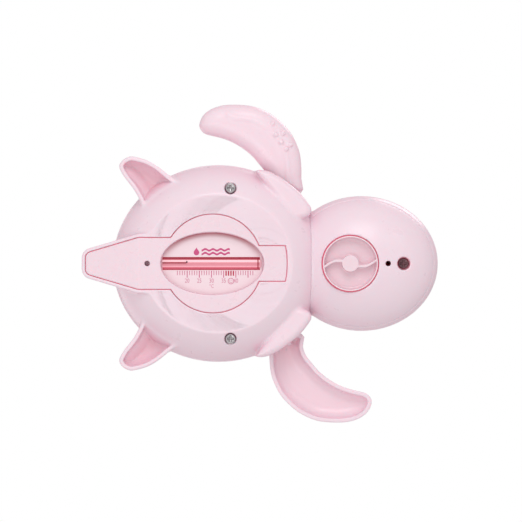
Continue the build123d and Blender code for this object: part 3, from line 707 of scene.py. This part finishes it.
def well_glow(x, y, z):
    """Painted glow at the bottom of the gap round the knob, and a weaker one on the walls of the small holes
    ahead of it.
    """
    ring = (disc(x, y, KX, 0, WELL_R - 1.1) > 0) & (disc(x, y, KX, 0, WELL_R + 0.5) < 0)
    well = ring & (z > WELL_FLOOR - 0.8) & (z < WELL_FLOOR + 0.6)
    drain = disc(x, y, DRAIN_X, 0, DRAIN_R + 0.3) < 0
    screw_hole = (disc(x, y, HEAD_SCREW_X, 0, COUNTERBORE_R + 0.35) < 0) & (z > 6.6)
    return 1.0 * well + 0.22 * ((drain | screw_hole) & (z > 5.0))


moulded("head_bottom_moulding", head_bottom, (12, -33, 1.5), (86, 33, HEAD_SEAM), 0.62, pink_abs, "shell",
        ["head_bottom"], head_outer, well_glow)
moulded("head_top_moulding", head_top, (12, -33, HEAD_SEAM), (86, 33, HZ + HC), 0.8, pink_abs, "shell",
        ["head_top"], head_outer)

# ------------------------------ flippers
LEADING = [(7.7, -46.5), (7.0, -53.0), (5.2, -58.2), (2.3, -63.6), (-2.7, -69.0), (-8.1, -72.9),
           (-15.0, -75.8), (-22.5, -76.7)]         # the blade's leading edge
BLADE = smooth_loop([(7.4, -34.0), (7.7, -41.0)] + LEADING + [
    (-30.2, -76.4), (-36.0, -74.5), (-39.9, -71.3), (-41.6, -67.3), (-41.0, -64.7), (-38.8, -62.6),
    (-35.1, -61.6), (-31.1, -60.6), (-25.7, -58.6), (-20.3, -55.4), (-16.0, -51.8), (-12.8, -48.1),
    (-9.9, -44.4), (-8.4, -40.0), (-7.9, -34.0)], 3)
LEAD = [(7.7, -38.0)] + LEADING + [(-22.5, -120.0), (40.0, -120.0), (40.0, -38.0)]      # all beyond that edge


def blade_outer(x, y, z):
    """Domed back with a ridge along the leading side, and a level rim."""
    flat = outline(x, y, BLADE)
    lead = outline(x, y, LEAD)
    back = 1.0 - 6.2 * np.sqrt(np.clip(1 - (1 - np.clip(-flat / 7.5, 0, 1)) ** 2, 0, 1))
    back = back - 0.6 * np.exp(-((lead - 6.6) / 1.5) ** 2) * np.clip((-flat - 2.0) / 4.0, 0, 1)
    return np.maximum(np.maximum(flat, z - 2.5), (back - z) * 0.75)


def blade(x, y, z):
    """Right flipper on its axle: a scoop with a domed back, six grip bumps, a plain rim and a round hub."""
    d = blade_outer(x, y, z)
    for bx, by, bz in ((-6.3, -67.2, -4.3), (-1.3, -62.8, -4.3), (2.3, -57.2, -4.0),
                       (-4.7, -61.9, -5.4), (-2.1, -58.4, -5.4), (0.3, -55.2, -5.3)):
        d = joined(d, ball(x, y, z, (bx, by, bz), (1.2, 1.2, 1.1)), 0.35)
    hub = slab(np.hypot(x, z) - 7.4, y, -34.6, -29.0, 0.4, 0.4)
    d = joined(d, np.maximum(hub, y + 29.0), 0.4)
    rim = outline(x, y, BLADE) + 1.9
    floor = 3.0 - 6.0 * np.sqrt(np.clip(1 - (1 - np.clip(-rim / 6.0, 0, 1)) ** 2, 0, 1))
    boss = np.maximum(np.hypot(x, z) - 3.2, -39.2 - y)
    scoop = np.maximum(np.maximum(np.maximum(rim, floor - z), y + 34.8), -boss)
    d = less(d, scoop, 0.5)
    return less(d, np.maximum(np.hypot(x, z) - 1.5, -38.0 - y))


blade_points, blade_quads = skin(blade, (-42.5, -77.7, -8.0), (8.5, -28.5, 7.8), 0.5)
across, out, up = blade_points.T
in_scoop = (blade_outer(across, out, up) < -0.8) & (outline(across, out, BLADE) + 1.5 < 0)
# painted shade in the scoop: a made-up depth, larger low in the scoop and near the hub, gives the ABS's
# darker colour
blade_depth = np.where(in_scoop, np.clip((2.4 - up) * 0.45, 0, 4), 0)
hub_painted_shade = np.clip((out + 52.0) / 12.0, 0, 1) * (blade_depth > 0.2) * 3.0      # the tint is richer there
axle = np.array((SX, 0, SZ))
for name, way in (("right_flipper", 1), ("left_flipper", -1)):
    piece(name + "_moulding", way * blade_points + axle, blade_quads[:, ::way], pink_abs, "flippers",
          [name], depth=blade_depth + hub_painted_shade)


# ------------------------------ winding knob
def knob(x, y, z):
    """Dished knob with a hub and two curved webs to grip."""
    d = slab(disc(x, y, KX, 0, KNOB_R), z, KNOB_LOW, KNOB_TOP, 0.25, 0.3)
    d = less(d, slab(disc(x, y, KX, 0, KNOB_R - 0.65), z, KNOB_LOW - 3, KNOB_TOP - 1.3, 0, 1.6), 0.2)
    hub = slab(disc(x, y, KX, 0, 4.0), z, KNOB_LOW + 0.2, KNOB_TOP, 0.4)
    d = joined(d, hub, 0.4)
    for s in (1, -1):
        u, v = (x - KX) * s, y * s
        middle = 2.9 * np.clip((-u - 7.0) / 5.4, 0, 1.3) ** 1.4 - 1.3
        web = np.maximum(np.maximum(np.abs(v - middle) * 0.88 - 0.55, u + 3.0), -12.6 - u)
        d = joined(d, np.maximum(web, np.abs(z - 5.6) - 2.2), 0.35)
    return less(d, np.maximum(disc(x, y, KX, 0, 2.0), KNOB_LOW + 2.4 - z))


# the depth below the knob's face drives painted shade in its dish
moulded("winding_knob_moulding", knob, (KX - 14, -14, KNOB_LOW - 0.3), (KX + 14, 14, KNOB_TOP + 0.3), 0.28,
        knob_abs, "winder", ["winding_knob"], lambda x, y, z: (KNOB_LOW + 1.0 - z) * 0.9)


# ------------------------------ thermometer insert
def insert_outer(x, y, z):
    """Plate, tab and tail, uncut."""
    plan = insert_plan(x, y)
    plate = slab(np.maximum(plan, np.maximum(PLATE_X0 - x, x - PLATE_X1)), z, PLATE_LOW, PLATE_BACK)
    tab = slab(np.maximum(plan, -5.0 - x), z, PLATE_LOW, TAB_BACK)
    tail = slab(np.maximum(plan, x + 40.0), z - rise(x), PLATE_LOW, TAIL_BACK)
    return np.minimum(np.minimum(plate, tab), tail)


def window(x, y, shrink):
    """Oval opening, made smaller all round by shrink."""
    return ball(x, y, 0 * x, (WX, 0, 0), (WA - shrink, WB - shrink, 1e3))


def insert_body(x, y, z):
    """Insert's moulding: window with a ledge for the lens, room behind it, and the tail's drain."""
    plan = insert_plan(x, y)
    d = insert_outer(x, y, z)
    d = common(d, slab(plan, z - rise(x), PLATE_LOW, 30.0, 0.45))
    d = less(d, np.maximum(window(x, y, 0.0), z - 1.5), 0.35)
    d = less(d, np.maximum(window(x, y, 0.3), z - 2.4))
    d = less(d, np.maximum(np.maximum(window(x, y, 0.0), 2.3 - z), np.maximum(-48.0 - x, x - 0.6)))
    return less(d, disc(x, y, TIP_X + 29.6, 0, DRAIN_R), 0.3)


# the depth above the insert's face drives painted shade in its recesses
moulded("insert_frame_moulding", insert_body, (-85, -25, 0), (14, 25, 10), 0.42, insert_abs, "insert",
        ["insert_frame"], lambda x, y, z: PLATE_LOW + rise(x) + 0.6 - z)

# ------------------------------ screws
def screw(x, y, z):
    """Pan-head self-tapping screw, its face at z = 0 and its thread running up."""
    r = np.hypot(x, y)
    d = slab(r - 2.4, z + 0.045 * r * r, 0.25, 2.2, 0.5)
    px, py = np.abs(x), np.abs(y)
    arms = np.minimum(np.maximum(px - 0.42, py - 1.5), np.maximum(py - 0.42, px - 1.5))
    d = less(d, np.maximum(np.minimum(arms, r - 0.75), z - 1.35 + 0.35 * r), 0.08)
    turn = (z / 1.1 - np.arctan2(y, x) / (2 * np.pi)) % 1.0        # thread pitch 1.1
    thread = r - 1.02 - 0.2 * (1 - 2 * np.abs(turn - 0.5)) + np.maximum(z - 21.0, 0) * 0.35
    return np.minimum(d, np.maximum(np.maximum(thread, 1.5 - z), z - 24.0))


def tree_with(name, sockets):
    """A geometry tree with named inputs; gives the tree, its input node and each input's identifier."""
    tree = bpy.data.node_groups.new(name, "GeometryNodeTree")
    tree.interface.new_socket("Geometry", in_out="INPUT", socket_type="NodeSocketGeometry")
    keys = {}
    for label, kind in sockets:
        keys[label] = tree.interface.new_socket(label, in_out="INPUT", socket_type=kind).identifier
    tree.interface.new_socket("Geometry", in_out="OUTPUT", socket_type="NodeSocketGeometry")
    return tree, add(tree, "NodeGroupInput").outputs, keys


def grow(name, tree, keys, values, start=None):
    """Plain mesh that a geometry tree makes from these inputs, in metres."""
    mesh = bpy.data.meshes.new(name + "_seed")
    if start is not None:
        mesh.from_pydata(start[0].tolist(), [], [list(map(int, q)) for q in start[1]])
        mesh.polygons.foreach_set("use_smooth", [True] * len(mesh.polygons))
    seed = bpy.data.objects.new(name + "_seed", mesh)
    scene.collection.objects.link(seed)
    modifier = seed.modifiers.new("grow", "NODES")
    modifier.node_group = tree
    for label, value in values.items():
        modifier[keys[label]] = value
    bpy.context.view_layer.update()
    made = bpy.data.meshes.new_from_object(seed.evaluated_get(bpy.context.evaluated_depsgraph_get()))
    seed.modifiers.clear()
    bpy.data.objects.remove(seed)
    return made


# Three screws: a pair in the belly, set out on a line, and a wider, shorter one in the head, given a darker
# copy of the zinc as painted shade for its deep hole.
HEAD_STARTS = 30.0                                 # the head's screw lies ahead of here, the pair behind
tree, source, keys = tree_with("screw_places", [
    ("Pair Start", "NodeSocketVector"), ("Pair Step", "NodeSocketVector"), ("Head Place", "NodeSocketVector"),
    ("Head Scale", "NodeSocketVector"), ("Metal", "NodeSocketMaterial"),
    ("Head Metal Painted Shade", "NodeSocketMaterial")])
pair = add(tree, "GeometryNodeMeshLine", {
    "Count": 2, "Start Location": source["Pair Start"], "Offset": source["Pair Step"]})
belly = add(tree, "GeometryNodeInstanceOnPoints", {"Points": pair.outputs[0], "Instance": source["Geometry"]})
single = add(tree, "GeometryNodeMeshLine", {"Count": 1, "Start Location": source["Head Place"]})
front = add(tree, "GeometryNodeInstanceOnPoints", {
    "Points": single.outputs[0], "Instance": source["Geometry"], "Scale": source["Head Scale"]})
both = add(tree, "GeometryNodeJoinGeometry", {"Geometry": belly.outputs[0]})
tree.links.new(front.outputs[0], both.inputs[0])
real = add(tree, "GeometryNodeRealizeInstances", {"Geometry": both.outputs[0]})
plated = add(tree, "GeometryNodeSetMaterial", {"Geometry": real.outputs[0], "Material": source["Metal"]})
along = add(tree, "ShaderNodeSeparateXYZ", {0: add(tree, "GeometryNodeInputPosition").outputs[0]})
ahead = add(tree, "ShaderNodeMath", {0: along.outputs[0], 1: HEAD_STARTS * MM}, operation="GREATER_THAN")
# painted shade: the screw ahead of this line gets the darker copy of the zinc
head_painted_shade = add(tree, "GeometryNodeSetMaterial", {
    "Geometry": plated.outputs[0], "Selection": ahead.outputs[0], "Material": source["Head Metal Painted Shade"]})
add(tree, "NodeGroupOutput", {"Geometry": head_painted_shade.outputs[0]})
screw_points, screw_quads = skin(screw, (-2.6, -2.6, -0.1), (2.6, 2.6, 24.1), 0.17)
screws = grow("screws", tree, keys, {
    "Pair Start": (SCREW_X * MM, -SCREW_Y * MM, low("belly_screws")[2] * MM),
    "Pair Step": (0.0, 2 * SCREW_Y * MM, 0.0),
    "Head Place": (HEAD_SCREW_X * MM, 0.0, (low("head_screw")[2] + 1.0) * MM),
    "Head Scale": (1.083, 1.083, 0.708),
    "Metal": zinc_screw,
    "Head Metal Painted Shade": shaded_zinc_screw,
}, (screw_points * MM, screw_quads))
settled("screws_turned", screws, "shell", ["belly_screws", "head_screw"])

# ------------------------------ degree scale
DEGREE = 1.165                                     # mm for one degree
AT_20 = WX - 12.05                                 # where the 20 degree mark stands
INK_Z = PLATE_Z - 0.03

tree, source, keys = tree_with("degree_marks", [
    ("Rows", "NodeSocketInt"), ("Row Step", "NodeSocketVector"), ("Marks", "NodeSocketInt"),
    ("Step", "NodeSocketVector"), ("Start", "NodeSocketVector"), ("Size", "NodeSocketVector"),
    ("Ink", "NodeSocketMaterial")])
rows = add(tree, "GeometryNodeMeshLine", {
    "Count": source["Rows"], "Start Location": source["Start"], "Offset": source["Row Step"]})
marks = add(tree, "GeometryNodeMeshLine", {"Count": source["Marks"], "Offset": source["Step"]})
mark = add(tree, "GeometryNodeMeshCube", {"Size": source["Size"]})
row = add(tree, "GeometryNodeInstanceOnPoints", {"Points": marks.outputs[0], "Instance": mark.outputs[0]})
whole_row = add(tree, "GeometryNodeRealizeInstances", {"Geometry": row.outputs[0]})
field = add(tree, "GeometryNodeInstanceOnPoints", {
    "Points": rows.outputs[0], "Instance": whole_row.outputs[0]})
real = add(tree, "GeometryNodeRealizeInstances", {"Geometry": field.outputs[0]})
inked = add(tree, "GeometryNodeSetMaterial", {"Geometry": real.outputs[0], "Material": source["Ink"]})
add(tree, "NodeGroupOutput", {"Geometry": inked.outputs[0]})

PLAIN = (0.34, 2.1, pale_ink)                      # width, length and ink of a mark
for name, first, rows_made, each, apart, (wide, tall, colour) in (
    ("marks_16_to_34", 16, 4, 4, 1, PLAIN), ("marks_41_to_44", 41, 1, 4, 1, PLAIN),
    ("marks_46_to_47", 46, 1, 2, 1, PLAIN), ("marks_bath_range", 36, 1, 4, 1, (0.62, 2.4, red_ink)),
    ("marks_every_five", 20, 1, 6, 5, (0.36, 3.3, rose_ink)),
):
    made = grow(name, tree, keys, {
        "Rows": rows_made, "Row Step": (5 * DEGREE * MM, 0.0, 0.0),
        "Marks": each, "Step": (apart * DEGREE * MM, 0.0, 0.0),
        "Start": ((AT_20 + (first - 20) * DEGREE) * MM, (3.45 + tall / 2) * MM, INK_Z * MM),
        "Size": (wide * MM, tall * MM, 0.06 * MM),
        "Ink": colour,
    })
    settled(name, made, "insert")


def print_text(name, words, x, y, tall, squeeze, colour):
    """Printed characters that read from below, turned to mesh before their place is applied."""
    data = bpy.data.curves.new(name, "FONT")
    data.body = words
    data.align_x = "CENTER"
    data.align_y = "CENTER"
    data.size = tall * 1.38 * MM
    data.extrude = 0.02 * MM
    data.resolution_u = 4
    text = bpy.data.objects.new(name + "_curve", data)
    scene.collection.objects.link(text)
    bpy.context.view_layer.update()
    mesh = bpy.data.meshes.new_from_object(text.evaluated_get(bpy.context.evaluated_depsgraph_get()))
    bpy.data.objects.remove(text)
    mesh.transform(Matrix.Translation((x * MM, y * MM, INK_Z * MM)) @ Matrix.Rotation(math.pi, 4, "X")
                   @ Matrix.Diagonal((squeeze, 1.0, 1.0, 1.0)))
    mesh.materials.clear()
    mesh.materials.append(colour)
    settled(name, mesh, "insert")


for degrees in (20, 25, 30, 35, 40):
    print_text("numeral_" + str(degrees), str(degrees), AT_20 + (degrees - 20) * DEGREE, 8.3, 2.1, 0.78,
               pale_ink)
print_text("numeral_unit", "°C", AT_20 + 10 * DEGREE, 10.9, 1.7, 0.85, pale_ink)


def print_shape(name, shape, lo, hi, colour, step):
    """A flat printed figure from its outline distance."""
    points, quads = skin(lambda x, y, z: np.maximum(shape(x, y), np.abs(z - INK_Z) - 0.05),
                         lo + (INK_Z - 0.1,), hi + (INK_Z + 0.1,), step)
    piece(name, points, quads, colour, "insert", smooth=False)


SIGN_X = AT_20 + 18 * DEGREE


def bath_sign(x, y):
    """Ring with a small face of dots and a smile, beside the bath range."""
    px, py = x - SIGN_X, y - 8.4
    ring = np.abs(np.hypot(px, py) - 1.35) - 0.17
    eyes = np.hypot(np.abs(px) - 0.5, py + 0.35) - 0.2
    smile = np.maximum(np.abs(np.hypot(px, py) - 0.75) - 0.12, 0.25 - py)
    return np.minimum(np.minimum(ring, eyes), smile)


def wave_motif(x, y):
    """A drop beside two rows of ripples: a plain water motif."""
    px, py = x - (WX - 7.6), y + 5.7
    point = np.maximum(np.abs(px) * 1.5 + np.abs(py + 0.6) * 0.9 - 1.25, -2.1 - py)
    drop = joined(np.hypot(px, py - 0.45) - 1.35, point, 0.3)
    wx = x - (WX - 5.2)
    wave = 0.38 * np.cos(wx * 1.7)
    ripple = np.minimum(np.abs(py + 0.85 - wave), np.abs(py - 0.95 - wave)) * 0.85 - 0.42
    ripple = np.maximum(ripple, np.maximum(-wx, wx - 13.6))
    return np.minimum(drop, ripple)


print_shape("bath_sign", bath_sign, (SIGN_X - 1.8, 6.6), (SIGN_X + 1.8, 10.2), pale_ink, 0.09)
print_shape("water_motif", wave_motif, (WX - 9.4, -8.2), (WX + 8.8, -3.2), rose_ink, 0.11)


# ------------------------------ tube
def turned(name, profile, y, z, material, replaces, sides, cut=None):
    """Body of revolution about a line along X, from (x, radius) steps in mm, riding on the insert. A cut
    flattens it at that height."""
    points, faces = [], []
    for x, r in profile:
        for i in range(sides):
            angle = 2 * math.pi * i / sides
            height = r * math.sin(angle)
            points.append((x, y + r * math.cos(angle), z + (height if cut is None else max(height, cut))))
    for i in range(len(profile) - 1):
        for j in range(sides):
            k = (j + 1) % sides
            faces.append((i * sides + j, i * sides + k, (i + 1) * sides + k, (i + 1) * sides + j))
    faces.append(tuple(range(sides))[::-1])
    faces.append(tuple((len(profile) - 1) * sides + j for j in range(sides)))
    piece(name, points, [f[::-1] for f in faces], material, "insert", replaces)


def round_ended(x0, x1, r, bevel):
    """Profile of a rod with rounded ends."""
    quarter = [i / 5 * math.pi / 2 for i in range(6)]
    start = [(x0 + bevel * (1 - math.cos(t)), r - bevel + bevel * math.sin(t)) for t in quarter]
    return start + [(x0 + x1 - x, rr) for x, rr in start[::-1]]


turned("glass_tube_drawn", round_ended(TUBE_LOW[0] - 1.1, TUBE_HIGH[0] + 1.6, TUBE_R, 1.5), 0, TUBE_Z,
       tube_glass, ["glass_tube"], 48)
turned("tube_enamel", round_ended(TUBE_LOW[0] - 0.9, TUBE_HIGH[0] + 1.4, TUBE_R - 0.05, 0.5), 0, TUBE_Z,
       enamel, (), 48, cut=-0.1)
turned("liquid_thread", [(TUBE_LOW[0] - 0.6, 0.26), (COLUMN_END - 0.3, 0.26)], -0.35, TUBE_Z - 0.55,
       red_spirit, ["liquid_column"], 16)
# painted shade: a black blob stands for the dark look of the spirit's meniscus in the bore
turned("meniscus_painted_shade", [(COLUMN_END - 0.35, 0.2), (COLUMN_END, 0.5), (COLUMN_END + 0.35, 0.2)],
       -0.75, TUBE_Z - 0.75, black_ink, (), 12)
turned("tube_seal", [(TUBE_HIGH[0] - 0.4, 2.5), (TUBE_HIGH[0] + 0.1, 2.5)], 0, TUBE_Z, red_spirit,
       (), 24, cut=-0.35)


# ------------------------------ eyes, printed on the head
def eye(x, y, z, wider=0.0, dx=0.0, dz=0.0, film=0.12):
    """Oval patch on the head's side, moved and widened; film is half the print's thickness."""
    oval = np.hypot((x - 68.0 - dx) / 2.9, (z - 33.0 - dz) / 3.9) * 3.3 - 3.3 - wider
    return np.maximum(np.maximum(np.abs(head_outer(x, y, z)) - film, oval), 5.0 - np.abs(y))


def eye_light(x, y, z):
    """Small highlight printed over the eye."""
    return eye(x, y, z, -2.1, 0.9, 1.5, 0.14)


for side, word in ((-1, "right"), (1, "left")):
    near, far = sorted((side * 20.0, side * 33.0))
    for part, shape, step, colour in (
        ("_eye", eye, 0.26, black_ink), ("_eye_light", eye_light, 0.2, white_ink),
    ):
        moulded(word + part, shape, (64, near, 28), (72, far, 38), step, colour, "shell")

# ------------------------------ camera, floor, light
camera = bpy.data.objects.new("camera", bpy.data.cameras.new("camera"))
scene.collection.objects.link(camera)
scene.camera = camera
DISTANCE, SENSOR = 2.0, 36.0
VIEW_WIDTH, VIEW_DEPTH = 0.2506, 0.010             # what the frame takes in, this far above the belly
camera.data.sensor_width = SENSOR
camera.data.lens = SENSOR * (DISTANCE + VIEW_DEPTH) / VIEW_WIDTH
camera.location = (0.0, -0.0012, -DISTANCE)
camera.rotation_euler = (math.pi, 0, 0)
camera.data.clip_start, camera.data.clip_end = 0.1, 20.0

bpy.ops.mesh.primitive_circle_add(vertices=96, radius=3.0, fill_type="NGON", location=(0, 0, 0))
floor = bpy.context.object
floor.name = "floor"
floor_paint, tree = shader("pale_floor")
back = add(tree, "ShaderNodeNewGeometry").outputs["Backfacing"]
paint = add(tree, "ShaderNodeBsdfPrincipled", {"Base Color": linear("#f7f6f7"), "Roughness": 0.6})
gone = add(tree, "ShaderNodeBsdfTransparent")
finish_shader(tree, add(tree, "ShaderNodeMixShader", {0: back, 1: paint.outputs[0], 2: gone.outputs[0]}))
floor.data.materials.append(floor_paint)
floor.visible_shadow = False
floor.visible_diffuse = False
floor.visible_glossy = False
floor.visible_transmission = False


def lamp(name, place, target, size, power):
    """Soft white square light aimed at a point."""
    data = bpy.data.lights.new(name, "AREA")
    data.shape = "SQUARE"
    data.size = size
    data.energy = power
    light = bpy.data.objects.new(name, data)
    light.location = place
    light.rotation_euler = (Vector(target) - Vector(place)).to_track_quat("-Z", "Y").to_euler()
    light.visible_camera = False
    scene.collection.objects.link(light)


lamp("key_below", (0.05, -0.75, -0.8), (0, 0, 0), 0.55, 3.0)
lamp("front_below", (-0.3, 0.3, -1.1), (0, 0, 0), 0.7, 2.2)
lamp("window_below", (0.78, -0.6, -0.7), (0.06, 0, 0.01), 0.16, 0.3)
lamp("key_above", (0.6, -0.9, 1.1), (0, 0, 0.02), 0.7, 4.0)
lamp("fill_above", (-0.9, 0.6, 0.9), (0, 0, 0.02), 0.8, 1.5)

world = bpy.data.worlds.new("white_room")
scene.world = world
world.use_nodes = True
sky = world.node_tree
sky.nodes.clear()
seen = add(sky, "ShaderNodeLightPath").outputs["Is Camera Ray"]
strength = add(sky, "ShaderNodeMapRange", {0: seen, 3: 0.68, 4: 1.0})
wall = add(sky, "ShaderNodeBackground", {"Color": (1, 1, 1, 1), "Strength": strength.outputs[0]})
add(sky, "ShaderNodeOutputWorld", {"Surface": wall.outputs[0]})
scene.view_settings.view_transform = "Standard"
scene.view_settings.look = "None"
